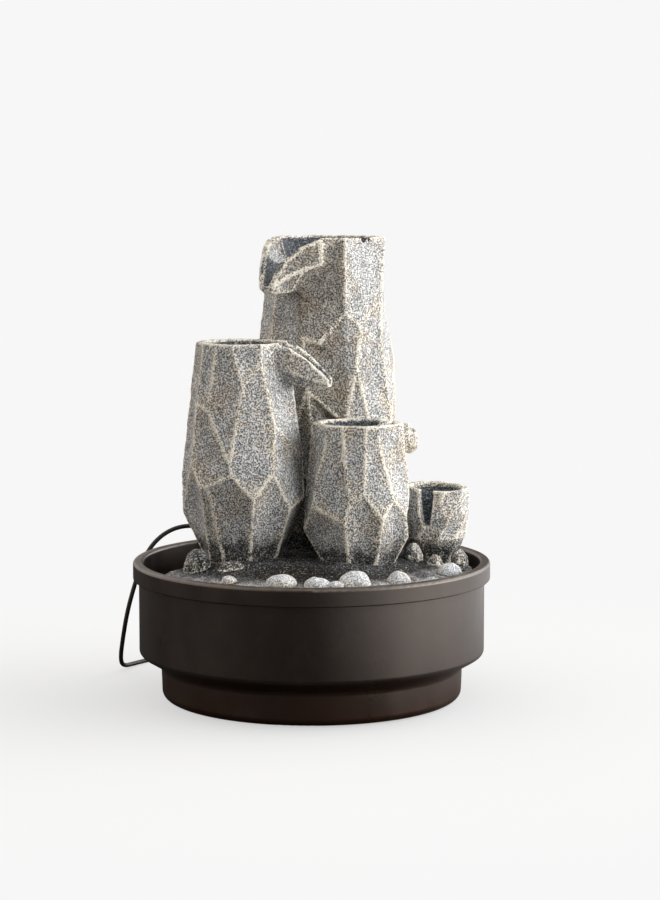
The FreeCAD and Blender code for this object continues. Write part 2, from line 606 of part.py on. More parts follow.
def intake_cover(x, half, plate_face, face, bottom):
    depth = dim("cover_depth")
    front = plate_face - depth
    shell = primitive("Box", "cover_block", at(x - half, front, bottom), Length="pump_width",
                      Width="cover_depth + cover_plate - 0.3", Height="pump_height")
    shell = rounded("cover_rounded", shell, 3, lambda edge: along(edge, Vector(0, 1, 0)))
    room = primitive("Box", "cover_room", at(x - half + 1.7, front + 2, bottom + 1.7),
                     Length="pump_width - 3.4", Width="cover_depth + cover_plate", Height="pump_height - 3.4")
    slots = [room]
    for i in range(7):
        slots.append(primitive("Box", f"front_slot_{i + 1}", at(x - 17.2 + 5.4 * i, front - 1, bottom + 6),
                               Length="2", Width="4", Height="pump_height - 12"))
    for side in (-1, 1):
        for i in range(2):
            slots.append(primitive("Box", f"side_slot_{side + 1}_{i + 1}",
                                   at(x + side * half - 2, front + 3.5 + 4 * i, bottom + 6),
                                   Length="4", Width="1.8", Height="pump_height - 12"))
    cut("intake_cover", shell, slots)


def impeller(x, face, chamber_end, well_end, axis):
    hub_start = face + 1
    hub = primitive("Cylinder", "hub", at(x, hub_start, axis, ALONG_Y), Radius="3.6")
    hub.Height = chamber_end - hub_start - 0.5
    sleeve = primitive("Cylinder", "sleeve", at(x, chamber_end - 1.5, axis, ALONG_Y), Radius="2.6")
    sleeve.Height = well_end - chamber_end
    disc = primitive("Cylinder", "disc", at(x, chamber_end - 1.5, axis, ALONG_Y), Radius="10.6", Height="1")
    blades = []
    for i in range(6):
        turn = Rotation(Vector(0, 1, 0), 60 * i)
        spot = Vector(x, hub_start + 0.5, axis) + turn.multVec(Vector(3, 0, -0.6))
        blade = primitive("Box", f"blade_{i + 1}", Placement(spot, turn), Length="7.4", Height="1.2")
        blade.Width = chamber_end - hub_start - 1.8
        blades.append(blade)
    bore = primitive("Cylinder", "impeller_bore", at(x, face - 2, axis, ALONG_Y), Radius="shaft_radius + 0.05",
                     Height="60")
    cut("impeller", fuse("impeller_whole", [hub, sleeve, disc] + blades), [bore])
    magnet = primitive("Cylinder", "magnet_blank", at(x, chamber_end + 0.5, axis, ALONG_Y), Radius="6")
    magnet.Height = well_end - chamber_end - 3
    core = primitive("Cylinder", "magnet_bore", at(x, chamber_end - 1, axis, ALONG_Y), Radius="2.6", Height="40")
    cut("rotor_magnet", magnet, [core])


def outlet(x, y, top):
    turned("outlet_spigot", [
        ("spigot_bore", "0"), ("3.5", "0"), ("3.5", "3.5"), ("7", "3.5"), ("7", "6.5"), ("spigot_radius", "6.5"),
        ("spigot_radius", "spigot_top - 40"), ("spigot_radius - 0.6", "spigot_top - 38.5"),
        ("spigot_bore", "spigot_top - 38.5")], at(x, y, top - 3.5))


def flow_dial(x, y, top):
    knob = primitive("Cylinder", "dial_knob", at(x, y, top + 0.3), Radius="dial_radius", Height="4")
    knob = rounded("dial_knob_rounded", knob, 0.8, lambda edge: edge.BoundBox.ZMin > top + 4)
    stem = primitive("Cylinder", "dial_stem", at(x, y, top - 5), Radius="1.95", Height="6")
    grip = primitive("Box", "dial_grip", at(x - 4, y - 0.9, top + 4), Length="8", Width="1.8", Height="2.5")
    fuse("flow_dial", [knob, stem, grip])


def gland(face_x, y, z):
    turned("cord_gland", [
        ("0", "0"), ("3.5", "0"), ("3.5", "4"), ("4.8", "4"), ("4.8", "6.5"), ("3.8", "7"),
        ("2.6", "gland_length + 4"), ("0", "gland_length + 4")], at(face_x + 4, y, z, ALONG_MINUS_X))


# ---------------------------------------------------------------- riser

def riser():
    x, y = dim("pump_x"), dim("pump_y")
    turned("riser_tube", [("tube_bore", "tube_bottom"), ("tube_radius", "tube_bottom"),
                          ("tube_radius", "tube_top"), ("tube_bore", "tube_top")], at(x, y, 0))
    turned("cup_nozzle", [
        ("3", "306"), ("spigot_radius", "306"), ("spigot_radius", "tall_cup_floor"), ("8", "tall_cup_floor"),
        ("8", "tall_cup_floor + 2"), ("5", "tall_cup_floor + 3"), ("5", "tall_cup_floor + 7"),
        ("3", "tall_cup_floor + 7")], at(x, y, 0))


# ---------------------------------------------------------------- lead

ROUTE = [
    # out of the pump, along the basin's wall and up its back left
    (-22, 80, 30), (-38, 81, 31), (-55, 87, 40), (-67, 95, 60), (-73, 99, 84), (-76, 100, 104),
    # over the rim
    (-84, 98, 117), (-98, 94, 122), (-114, 87, 120.5), (-128, 79, 112), (-138, 72, 97),
    # down the outside to the table
    (-145, 67, 76), (-151, 67, 54), (-155, 71, 32), (-158, 79, 13), (-157, 95, 3.5), (-149, 115, 1.9),
    # round the back, into the outermost turn of the coil
    (-134, 136, 1.9), (-111, 157, 1.9), (-84, 171, 1.9), (-57, 175.5, 2), (-31.5, 173, 2.9), (-8.7, 166, 3.85),
]
TAIL = [(25.5, 190, 7.8), (27.5, 208, 5.6), (43, 221.5, 5), (63, 221.5, 5)]


def cord_path(points):
    """Straight runs joined by tangent arcs, each as large as its two runs allow."""
    points = [Vector(*point) for point in points]
    edges = []
    radii = []
    start = points[0]
    for before, corner, after in zip(points, points[1:], points[2:]):
        into = (corner - before).normalize()
        out = (after - corner).normalize()
        half_turn = into.getAngle(out) / 2
        reach = 0.45 * min((corner - before).Length, (after - corner).Length)
        radii.append(reach / math.tan(half_turn))
        first = corner - into * reach
        last = corner + out * reach
        inward = (out - into).normalize()
        centre = corner + inward * (radii[-1] / math.cos(half_turn))
        middle = centre - inward * radii[-1]
        edges.append(Part.LineSegment(start, first).toShape())
        edges.append(Part.Arc(first, middle, last).toShape())
        start = last
    edges.append(Part.LineSegment(start, points[-1]).toShape())
    return Part.Wire(edges), radii


def cord(label, points):
    wire, radii = cord_path(points)
    radius = dim("cord_radius")
    start = Vector(*points[0])
    direction = (Vector(*points[1]) - start).normalize()
    section = Part.Wire(Part.Circle(start, direction, radius).toShape())
    tube = wire.makePipeShell([section], True, False)
    wanted = math.pi * radius ** 2 * wire.Length
    print(f"{label}: {wire.Length:.1f} long, bend radii {min(radii):.1f} to {max(radii):.1f}")
    print("  radii: " + " ".join(f"{value:.0f}" for value in radii))
    if abs(tube.Volume - wanted) > 0.01 * wanted:
        raise ValueError(f"{label} has volume {tube.Volume:.0f}, not {wanted:.0f}")
    return feature(label, tube)


def lead():
    cord("power_cord", ROUTE)
    cord("cord_tail", TAIL)
    primitive("Torus", "cord_coil", at(0, 190, dim("coil_thickness")), Radius1="coil_radius",
              Radius2="coil_thickness")
    end = Vector(*TAIL[-1])
    direction = end - Vector(*TAIL[-2])
    turn = Rotation(Vector(0, 0, 1), Vector(direction.x, direction.y, 0))
    turned("plug_body", [
        ("0", "0"), ("2.4", "0"), ("3.2", "6"), ("4.4", "6.5"), ("plug_radius", "8"), ("plug_radius", "plug_length"),
        ("0", "plug_length")], Placement(end, turn))
    tip = turn.multVec(Vector(0, 0, dim("plug_length")))
    turned("plug_barrel", [
        ("barrel_radius - 0.5", "0"), ("barrel_radius", "0"), ("barrel_radius", "barrel_length"),
        ("barrel_radius - 0.5", "barrel_length")], Placement(end + tip, turn))
    turned("plug_insulator", [
        ("0", "0"), ("barrel_radius - 0.5", "0"), ("barrel_radius - 0.5", "barrel_length"),
        ("1.05", "barrel_length"), ("1.05", "1"), ("0", "1")], Placement(end + tip, turn))


# ---------------------------------------------------------------- write

NODES = [
    "basin", "foot_pads", "pump_housing", "volute_cover", "pump_shaft", "shaft_bushings", "outlet_spigot",
    "suction_cups", "cord_gland", "power_cord", "cord_tail", "cord_coil", "plug_body", "plug_barrel",
    "plug_insulator", "intake_cover", "impeller", "rotor_magnet", "flow_dial", "rock_base", "tall_pillar",
    "left_pillar", "front_pillar", "small_cup", "left_boulders", "right_boulders", "pebbles", "riser_tube",
    "cup_nozzle",
]


def check_document():
    doc.recompute()
    for item in doc.Objects:
        if "Invalid" in item.State or "Error" in item.State:
            raise ValueError(f"{item.Label} failed: {item.State}")


def write_parts():
    os.makedirs("parts", exist_ok=True)
    for name in NODES:
        shape = doc.getObjectsByLabel(name)[0].Shape
        if shape.isNull() or not shape.isValid() or not shape.Solids:
            raise ValueError(f"{name} has no valid solid")
        shape.exportStep(f"parts/{name}.step")
        print(f"{name}: {len(shape.Solids)} solid(s), {shape.Volume / 1000:.1f} cm3")


basin()
pump()
rockwork(pillars())
riser()
lead()
check_document()
write_parts()
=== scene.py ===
"""Tabletop fountain: faceted stone pillars with cups and spouts, on a pebbled deck in a round basin."""

import math

import bmesh
import bpy
import numpy as np
from mathutils import Euler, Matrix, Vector
from mathutils.kdtree import KDTree


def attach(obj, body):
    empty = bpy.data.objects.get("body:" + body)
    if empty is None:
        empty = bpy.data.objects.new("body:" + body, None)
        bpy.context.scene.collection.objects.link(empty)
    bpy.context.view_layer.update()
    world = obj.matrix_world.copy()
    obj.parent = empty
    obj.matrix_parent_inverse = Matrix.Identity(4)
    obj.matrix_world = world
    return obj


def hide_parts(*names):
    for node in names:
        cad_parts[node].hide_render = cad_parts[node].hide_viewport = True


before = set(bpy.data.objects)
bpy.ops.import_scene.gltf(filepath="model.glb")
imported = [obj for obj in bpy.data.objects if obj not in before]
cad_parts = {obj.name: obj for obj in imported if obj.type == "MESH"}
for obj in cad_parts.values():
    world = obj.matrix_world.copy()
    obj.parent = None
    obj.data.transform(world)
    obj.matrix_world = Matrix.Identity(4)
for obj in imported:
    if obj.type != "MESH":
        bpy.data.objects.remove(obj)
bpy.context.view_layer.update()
MM = 0.001


def mm(*values):
    return tuple(value * MM for value in values)


def collection_link(obj):
    bpy.context.scene.collection.objects.link(obj)
    return obj


# ---------------------------------------------------------------- camera

def make_camera():
    data = bpy.data.cameras.new("camera")
    data.sensor_width = 36
    data.lens = 97.9
    data.clip_start = 0.05
    data.clip_end = 60
    camera = collection_link(bpy.data.objects.new("camera", data))
    camera.location = mm(14.4, -1900, 415.1)
    camera.rotation_euler = Euler((math.radians(90 - 6.61), 0, 0))
    bpy.context.scene.camera = camera


# ---------------------------------------------------------------- lead

ROUTE = [
    # out of the pump, along the basin's wall and up its back left
    (-22, 80, 30), (-38, 81, 31), (-55, 87, 40), (-67, 95, 60), (-73, 99, 84), (-76, 100, 104),
    # over the rim
    (-84, 98, 117), (-98, 94, 122), (-114, 87, 120.5), (-128, 79, 112), (-138, 72, 97),
    # down the outside to the table
    (-145, 67, 76), (-151, 67, 54), (-155, 71, 32), (-158, 79, 13), (-157, 95, 3.5), (-149, 115, 1.9),
    # round the back, into the outermost turn of the coil
    (-134, 136, 1.9), (-111, 157, 1.9), (-84, 171, 1.9), (-57, 175.5, 2), (-31.5, 173, 2.9),
]
TAIL = [(27.5, 208, 5.6), (43, 221.5, 5), (63, 221.5, 5)]
CORD_RADIUS = 1.8
COIL_CENTRE = (0, 190, 5.9)
COIL_RADIUS = 22
COIL_START = -110
COIL_TURNS = 6
STEPS_PER_TURN = 18
TURN_SPACING = 4.1
SEAT_CHANGE = 50  # degrees that a turn takes to move from one seat to the next
FIRST_CHANGE = 300  # degrees round the coil at which the first change begins
CHANGE_EARLIER = 44  # degrees by which each later change comes earlier in its turn


def coil_seats():
    """Where each turn lies in the coil's section, as (outward, up) from its middle."""
    around = []
    for degrees in (-30, -90, -150, 150, 90, 30):
        angle = math.radians(degrees)
        around.append((TURN_SPACING * math.cos(angle), TURN_SPACING * math.sin(angle)))
    return around[:3] + [(0, 0)] + around[3:]


def coil_points():
    seats = coil_seats()
    last = round((COIL_TURNS * 360 - COIL_START) / 360 * STEPS_PER_TURN)
    points = []
    for step in range(last + 1):
        turned = 360 * step / STEPS_PER_TURN
        # a later turn changes seat earlier in its round, so each seat is free before the next turn takes it
        place = 0.0
        for change in range(COIL_TURNS):
            begin = FIRST_CHANGE + (360 - CHANGE_EARLIER) * change
            share = min(1, max(0, (turned - begin) / SEAT_CHANGE))
            place += share * share * (3 - 2 * share)
        index = min(int(place), len(seats) - 2)
        part = place - index
        out = seats[index][0] * (1 - part) + seats[index + 1][0] * part
        up = seats[index][1] * (1 - part) + seats[index + 1][1] * part
        angle = math.radians(COIL_START + turned)
        radius = COIL_RADIUS + out
        points.append((COIL_CENTRE[0] + radius * math.cos(angle), COIL_CENTRE[1] + radius * math.sin(angle),
                       COIL_CENTRE[2] + up))
    return points


def make_cord():
    points = ROUTE + coil_points() + TAIL
    data = bpy.data.curves.new("lead", "CURVE")
    data.dimensions = "3D"
    data.bevel_depth = CORD_RADIUS * MM
    data.bevel_resolution = 5
    data.resolution_u = 6
    data.use_fill_caps = True
    spline = data.splines.new("NURBS")
    spline.points.add(len(points) - 1)
    for place, point in zip(points, spline.points):
        point.co = (*mm(*place), 1)
    spline.order_u = 3
    spline.use_endpoint_u = True
    lead = collection_link(bpy.data.objects.new("lead", data))
    data.materials.append(vinyl("lead_vinyl"))
    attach(lead, "root")
    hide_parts("power_cord", "cord_tail", "cord_coil")


# ---------------------------------------------------------------- material helpers

class Nodes:
    """A material's node tree, with short calls for the nodes that repeat."""

    def __init__(self, name, roughness=0.5, specular=0.5, metallic=0.0):
        self.material = bpy.data.materials.new(name)
        self.material.use_nodes = True
        self.tree = self.material.node_tree
        self.shader = self.tree.nodes["Principled BSDF"]
        self.shader.inputs["Roughness"].default_value = roughness
        self.shader.inputs["Specular IOR Level"].default_value = specular
        self.shader.inputs["Metallic"].default_value = metallic
        self.place = self.tree.nodes.new("ShaderNodeTexCoord").outputs["Object"]

    def new(self, kind, **settings):
        node = self.tree.nodes.new("ShaderNode" + kind)
        for name, value in settings.items():
            setattr(node, name, value)
        return node

    def link(self, source, target):
        if hasattr(source, "is_linked"):
            self.tree.links.new(source, target)
        elif isinstance(source, tuple) and len(source) == 3 and target.type == "RGBA":
            target.default_value = (*source, 1)
        else:
            target.default_value = source

    def noise(self, size_mm, detail=2.0, rough=0.5, squash=(1, 1, 1), shift=0.0):
        """Noise whose lumps are about size_mm across."""
        scaled = self.new("VectorMath", operation="MULTIPLY_ADD")
        self.link(self.place, scaled.inputs[0])
        scaled.inputs[1].default_value = squash
        scaled.inputs[2].default_value = (shift, shift * 0.7, shift * 1.3)
        node = self.new("TexNoise")
        self.link(scaled.outputs[0], node.inputs["Vector"])
        node.inputs["Scale"].default_value = 1000 / size_mm
        node.inputs["Detail"].default_value = detail
        node.inputs["Roughness"].default_value = rough
        return node.outputs["Fac"]

    def pits(self, size_mm):
        """Pits about size_mm apart: near 0 at the middle of each, and up to 1 between them."""
        node = self.new("TexVoronoi")
        self.link(self.place, node.inputs["Vector"])
        node.inputs["Scale"].default_value = 1000 / size_mm
        return node.outputs["Distance"]

    def ramp(self, value, *stops, smooth=False):
        node = self.new("ValToRGB")
        ramp = node.color_ramp
        ramp.interpolation = "EASE" if smooth else "LINEAR"
        for place, colour in stops[1:-1]:
            ramp.elements.new(place)
        for element, (place, colour) in zip(ramp.elements, stops):
            element.position = place
        for element, (place, colour) in zip(ramp.elements, stops):
            shade = colour if isinstance(colour, tuple) else (colour,) * 3
            element.color = (*shade, 1)
        self.link(value, node.inputs[0])
        return node.outputs[0]

    def mix(self, share, first, second, kind="MIX"):
        node = self.new("Mix", data_type="RGBA", blend_type=kind)
        self.link(share, node.inputs[0])
        self.link(first, node.inputs[6])
        self.link(second, node.inputs[7])
        return node.outputs[2]

    def height_share(self, low_mm, high_mm):
        """0 at one height and 1 at the other, whichever is higher."""
        split = self.new("SeparateXYZ")
        self.link(self.place, split.inputs[0])
        node = self.new("MapRange")
        self.link(split.outputs[2], node.inputs[0])
        node.inputs["From Min"].default_value = low_mm * MM
        node.inputs["From Max"].default_value = high_mm * MM
        return node.outputs[0]

    def math(self, operation, first, second=0.0, clamp=False):
        node = self.new("Math", operation=operation, use_clamp=clamp)
        self.link(first, node.inputs[0])
        self.link(second, node.inputs[1])
        return node.outputs[0]

    def attribute(self, name):
        return self.new("Attribute", attribute_name=name).outputs["Fac"]

    def bump(self, height, distance_mm, strength=1.0):
        node = self.new("Bump")
        node.inputs["Strength"].default_value = strength
        node.inputs["Distance"].default_value = distance_mm * MM
        self.link(height, node.inputs["Height"])
        return node.outputs[0]

    def finish(self, colour, normal=None, roughness=None):
        self.link(colour, self.shader.inputs["Base Color"])
        if roughness is not None:
            self.link(roughness, self.shader.inputs["Roughness"])
        if normal is not None:
            self.link(normal, self.shader.inputs["Normal"])
        return self.material


# ---------------------------------------------------------------- plain materials

def vinyl(name, base=(0.022, 0.018, 0.016)):
    n = Nodes(name, specular=0.4)
    worn = n.noise(14, 3)
    colour = n.mix(worn, base, tuple(c * 1.7 for c in base))
    rough = n.ramp(n.noise(5, 2), (0.3, 0.42), (0.7, 0.58))
    return n.finish(colour, n.bump(n.noise(0.8, 2), 0.04), rough)


def moulded(name, base, size_mm=1.1, depth_mm=0.05, rough=(0.4, 0.55)):
    """Injection-moulded plastic with a fine spark-eroded grain and faint flow marks."""
    n = Nodes(name, specular=0.45)
    flow = n.noise(22, 3, squash=(1, 1, 0.35))
    colour = n.mix(n.ramp(flow, (0.3, 0.0), (0.7, 1.0)), tuple(c * 0.82 for c in base),
                   tuple(min(1, c * 1.2) for c in base))
    gloss = n.ramp(n.noise(9, 3, shift=3), (0.3, rough[0]), (0.7, rough[1]))
    return n.finish(colour, n.bump(n.noise(size_mm, 2), depth_mm), gloss)


def rubber(name):
    n = Nodes(name, specular=0.3)
    dust = n.ramp(n.noise(3, 4), (0.45, 0.0), (0.75, 1.0))
    colour = n.mix(dust, (0.02, 0.02, 0.02), (0.045, 0.043, 0.04))
    return n.finish(colour, n.bump(n.noise(0.6, 3), 0.05), n.ramp(n.noise(4), (0.3, 0.7), (0.7, 0.9)))


def metal(name, base, rough, metallic=1.0):
    n = Nodes(name, metallic=metallic)
    turned = n.noise(0.5, 2, squash=(1, 0.05, 0.05))
    colour = n.mix(turned, tuple(c * 0.85 for c in base), base)
    return n.finish(colour, n.bump(turned, 0.01), n.ramp(n.noise(3, 3), (0.3, rough), (0.7, rough * 1.6)))


def ceramic(name):
    n = Nodes(name, specular=0.6)
    colour = n.mix(n.noise(2, 3), (0.82, 0.8, 0.76), (0.9, 0.88, 0.85))
    return n.finish(colour, n.bump(n.noise(0.7), 0.01), n.ramp(n.noise(3), (0.3, 0.15), (0.7, 0.25)))


def clear_hose(name):
    n = Nodes(name, specular=0.5)
    n.shader.inputs["Transmission Weight"].default_value = 0.8
    n.shader.inputs["IOR"].default_value = 1.45
    haze = n.noise(12, 4, squash=(1, 1, 0.2))
    colour = n.mix(haze, (0.78, 0.82, 0.8), (0.9, 0.92, 0.9))
    rough = n.ramp(haze, (0.3, 0.12), (0.7, 0.3))
    return n.finish(colour, n.bump(n.noise(2, 2, squash=(1, 1, 0.2)), 0.03), rough)


def basin_plastic():
    """Dark bronze plastic: satin and faintly pebbled, browner low down, paler brown along the rim's top:
    partly rubbed wear, partly a painted highlight.
    """
    n = Nodes("basin_plastic", specular=1.0)
    n.shader.inputs["Specular Tint"].default_value = (1.0, 0.88, 0.80, 1)
    drift = n.ramp(n.noise(60, 3, squash=(1, 1, 2)), (0.3, 0.0), (0.7, 1.0))
    colour = n.mix(drift, (0.0062, 0.0032, 0.0020), (0.0095, 0.0050, 0.0031))
    speck = n.ramp(n.noise(1.1, 2, 0.7), (0.58, 0.0), (0.75, 1.0))
    colour = n.mix(n.math("MULTIPLY", speck, 0.3), colour, (0.07, 0.055, 0.045))
    patches = n.ramp(n.noise(40, 3, 0.6, shift=7), (0.3, 0.6), (0.6, 1.0))
    low = n.math("MULTIPLY", n.height_share(36, 24), patches)
    colour = n.mix(low, colour, (0.022, 0.0065, 0.0012))
    patches = n.ramp(n.noise(34, 4, 0.6, shift=12), (0.50, 0.0), (0.68, 0.7))
    rust = n.math("MULTIPLY", n.height_share(66, 40), patches)
    colour = n.mix(rust, colour, (0.020, 0.0075, 0.0022))
    # paler brown on the rim's top: partly rubbed wear, partly a painted highlight
    patches = n.ramp(n.noise(7, 4, 0.6, shift=5), (0.36, 0.1), (0.62, 1.0))
    worn = n.math("MULTIPLY", n.height_share(106, 109), patches)
    colour = n.mix(n.math("MULTIPLY", worn, 0.55), colour, (0.115, 0.075, 0.045))
    rub = n.ramp(n.noise(16, 5, 0.65, shift=5), (0.52, 0.0), (0.75, 1.0))
    colour = n.mix(n.math("MULTIPLY", rub, 0.25), colour, (0.05, 0.036, 0.027))
    grain = n.noise(0.9, 3, 0.6)
    rough = n.ramp(n.noise(30, 4, 0.6, squash=(1, 1, 0.5), shift=9), (0.3, 0.27), (0.7, 0.38))
    return n.finish(colour, n.bump(grain, 0.07, 0.8), rough)


# ---------------------------------------------------------------- stone materials

def stone(name, grains, tint_low, tint_high, cream=0.9, size_mm=0.5):
    """Cast granite. grains are ramp stops, dark to light; attributes place the worn ridges, painted shade
    inside the cups, a darker front, and a dark wash low down with painted shade between pillars.
    """
    n = Nodes(name, roughness=0.85, specular=0.2)
    fine = n.noise(size_mm, 2, 0.6)
    pits = n.pits(size_mm * 2.3)
    pepper = n.math("ADD", n.math("MULTIPLY", fine, 0.55), n.math("MULTIPLY", pits, 0.5))
    speckle = n.ramp(pepper, *grains)
    wash = n.ramp(n.noise(17, 4, 0.6, shift=2), (0.32, tint_low), (0.68, tint_high))
    colour = n.mix(1.0, speckle, wash, "MULTIPLY")

    darkened = n.math("MULTIPLY", n.attribute("front_darkening"), 0.85)
    colour = n.mix(darkened, colour, n.mix(1.0, colour, (0.62, 0.58, 0.52), "MULTIPLY"))

    warm = n.ramp(n.noise(26, 3, 0.6, shift=8), (0.47, 0.0), (0.66, 1.0))
    halo = n.math("MULTIPLY", n.attribute("halo"), n.ramp(n.noise(6, 3, shift=4), (0.42, 0.0), (0.64, 1.0)))
    tan = n.math("ADD", n.math("MULTIPLY", warm, 0.5), n.math("MULTIPLY", halo, 0.7), True)
    colour = n.mix(n.math("MULTIPLY", tan, 0.8), colour, n.mix(1.0, colour, (1.0, 0.78, 0.52), "MULTIPLY"))

    patches = n.ramp(n.noise(9, 4, 0.6, shift=6), (0.34, 0.2), (0.6, 1.0))
    pale = n.math("MULTIPLY", n.attribute("pale"), patches)
    colour = n.mix(pale, colour, n.ramp(pepper, (0.36, 0.10), (0.46, 0.26), (0.55, 0.40), (0.66, 0.70)))
    # dark wash low on the stones, and painted shade in the crevices close to neighbouring pillars
    wash_and_shade = n.math("MULTIPLY", n.attribute("wash_and_shade"), n.ramp(n.noise(7, 3), (0.3, 0.75), (0.55, 1.0)))
    dark = n.ramp(pepper, (0.48, (0.010, 0.009, 0.008)), (0.60, (0.032, 0.032, 0.032)),
                  (0.70, (0.34, 0.36, 0.37)))
    colour = n.mix(n.math("MULTIPLY", wash_and_shade, 0.92), colour, dark)
    # painted shade: the cups' insides and the spouts' channels, darkened to a blue-grey
    shaded_inside = n.ramp(pepper, (0.42, (0.014, 0.017, 0.022)), (0.54, (0.050, 0.060, 0.075)),
                    (0.70, (0.22, 0.25, 0.28)))
    colour = n.mix(n.math("MULTIPLY", n.attribute("cup"), 0.92), colour, shaded_inside)

    worn = n.math("ADD", n.attribute("ridge"), n.math("MULTIPLY", n.math("SUBTRACT", pepper, 0.5), 2.2))
    worn = n.ramp(worn, (0.46, 0.0), (0.86, 1.0), smooth=True)
    brush = n.mix(n.ramp(pits, (0.15, 0.0), (0.5, 1.0)), (0.54, 0.46, 0.34), (0.92, 0.87, 0.76))
    colour = n.mix(n.math("MULTIPLY", worn, cream), colour, brush)

    lumps = n.math("ADD", n.math("MULTIPLY", pepper, 0.5), n.math("MULTIPLY", n.noise(1.7, 3, 0.6), 0.8))
    return n.finish(colour, n.bump(lumps, 0.55, 0.9), n.ramp(fine, (0.3, 0.72), (0.7, 0.95)))


PILLAR_GRAINS = [(0.37, 0.012), (0.43, 0.08), (0.48, 0.26), (0.53, 0.47), (0.61, 0.88)]
DECK_GRAINS = [(0.46, 0.005), (0.56, 0.011), (0.63, 0.03), (0.69, 0.12), (0.78, 0.42)]
PEBBLE_GRAINS = [(0.33, 0.10), (0.41, 0.30), (0.49, 0.50), (0.57, 0.70), (0.67, 0.92)]


def pillar_stone():
    return stone("pillar_stone", PILLAR_GRAINS, (0.72, 0.735, 0.74), (1.0, 0.995, 0.97))


def pebble_stone():
    return stone("pebble_stone", PEBBLE_GRAINS, (0.84, 0.87, 0.90), (1.0, 1.0, 1.0), cream=0.4)


def deck_stone():
    """The deck: a dark brown wash in the middle, with painted shade round the pillars' feet, pale and dusty
    on the slope down to the rim.
    """
    return stone("deck_stone", DECK_GRAINS, (0.70, 0.58, 0.46), (1.0, 0.93, 0.85), cream=0.35)


# ---------------------------------------------------------------- stone shapes

# a ridge's half widths in millimetres: its raised line, the skin kept sharp, its worn paint and its tan halo
RIDGE_WIDTH = 1.35
HELD_WIDTH = 1.9
WORN_WIDTH = 2.5
HALO_WIDTH = 5
RIDGE_HEIGHT = 0.4
RELAX_ROUNDS = 26


def lattice_noise(points, size, seed):
    """Smooth noise from -1 to 1 whose lumps are about size across, the same on every machine."""
    spot = points / size + seed * 7.13
    cell = np.floor(spot).astype(np.int64)
    part = spot - cell
    ease = part * part * (3 - 2 * part)
    total = np.zeros(len(points))
    for corner in range(8):
        offset = np.array([corner & 1, corner >> 1 & 1, corner >> 2 & 1])
        key = ((cell + offset) * np.array([73856093, 19349663, 83492791])).sum(axis=1) + seed * 1013
        key = (key ^ (key >> 13)) & 0xFFFFFFF
        key = (key * 1274126177) & 0xFFFFFFF
        key = (key ^ (key >> 11)) & 0xFFFF
        weight = np.prod(np.where(offset == 1, ease, 1 - ease), axis=1)
        total += weight * (key / 32767.5 - 1)
    return total


def ridge_points(mesh, sharp_from, sharp_full, spacing=0.6):
    """Points along the convex edges of a CAD mesh, each with how sharp its edge is, from 0 to 1."""
    work = bmesh.new()
    work.from_mesh(mesh)
    bmesh.ops.remove_doubles(work, verts=work.verts, dist=1e-6)
    turn = {edge: math.degrees(edge.calc_face_angle_signed(0)) for edge in work.edges}
    # the middle of a scooped facet lies deeper than its corners, and at most one edge folds outward there
    work.normal_update()
    hollow = set()
    for vert in work.verts:
        around = [edge.other_vert(vert).co for edge in vert.link_edges]
        depth = vert.normal.dot(sum(around, Vector()) / len(around) - vert.co)
        folds = sum(turn[edge] > 5 for edge in vert.link_edges)
        if depth > 0.9 * MM or (depth > 0.15 * MM and folds < 2):
            hollow.add(vert)
    points = []
    weights = []
    for edge, angle in turn.items():
        if angle < sharp_from or not hollow.isdisjoint(edge.verts):
            continue
        first, second = edge.verts[0].co, edge.verts[1].co
        count = max(1, int((second - first).length / (spacing * MM)))
        for i in range(count + 1):
            points.append(first.lerp(second, i / count))
            weights.append(min(1, (angle - sharp_from) / (sharp_full - sharp_from)))
    work.free()
    return points, weights


def nearest(coords, points, weights):
    """Each vertex's distance to the nearest ridge, and that ridge's sharpness."""
    tree = KDTree(len(points))
    for i, point in enumerate(points):
        tree.insert(point, i)
    tree.balance()
    distance = np.empty(len(coords))
    sharp = np.empty(len(coords))
    for i, place in enumerate(coords):
        found = tree.find(place)
        distance[i] = found[2]
        sharp[i] = weights[found[1]]
    return distance, sharp


def vertex_array(mesh):
    coords = np.empty(len(mesh.vertices) * 3)
    mesh.vertices.foreach_get("co", coords)
    return coords.reshape(-1, 3)


def normal_array(mesh):
    normals = np.empty(len(mesh.vertices) * 3)
    mesh.vertices.foreach_get("normal", normals)
    return normals.reshape(-1, 3)


def put_back(mesh, coords):
    mesh.vertices.foreach_set("co", coords.ravel())
    mesh.update()


def relaxed(mesh, coords, hold, rounds):
    """Evens out the mesh, leaving in place what hold says, from 0 to 1."""
    edges = np.empty(len(mesh.edges) * 2, dtype=np.int64)
    mesh.edges.foreach_get("vertices", edges)
    a, b = edges.reshape(-1, 2).T
    count = np.bincount(a, minlength=len(coords)) + np.bincount(b, minlength=len(coords))
    for _ in range(rounds):
        mean = np.empty_like(coords)
        for axis in range(3):
            total = np.bincount(a, coords[b, axis], len(coords))
            total += np.bincount(b, coords[a, axis], len(coords))
            mean[:, axis] = total / count
        coords = coords + (1 - hold)[:, None] * 0.5 * (mean - coords)
    return coords


def paint(mesh, name, values):
    layer = mesh.attributes.new(name, "FLOAT", "POINT")
    layer.data.foreach_set("value", np.clip(values, 0, 1).astype(np.float32))


def remeshed(node, name, voxel_mm):
    """A copy of a CAD node's mesh made of small even faces."""
    piece = collection_link(bpy.data.objects.new(name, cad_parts[node].data.copy()))
    work = bmesh.new()
    work.from_mesh(piece.data)
    bmesh.ops.remove_doubles(work, verts=work.verts, dist=1e-6)
    work.to_mesh(piece.data)
    work.free()
    modifier = piece.modifiers.new("even", "REMESH")
    modifier.mode = "VOXEL"
    modifier.voxel_size = voxel_mm * MM
    modifier.use_smooth_shade = True
    graph = bpy.context.evaluated_depsgraph_get()
    mesh = bpy.data.meshes.new_from_object(piece.evaluated_get(graph))
    piece.modifiers.clear()
    piece.data = mesh
    mesh.name = name
    return piece


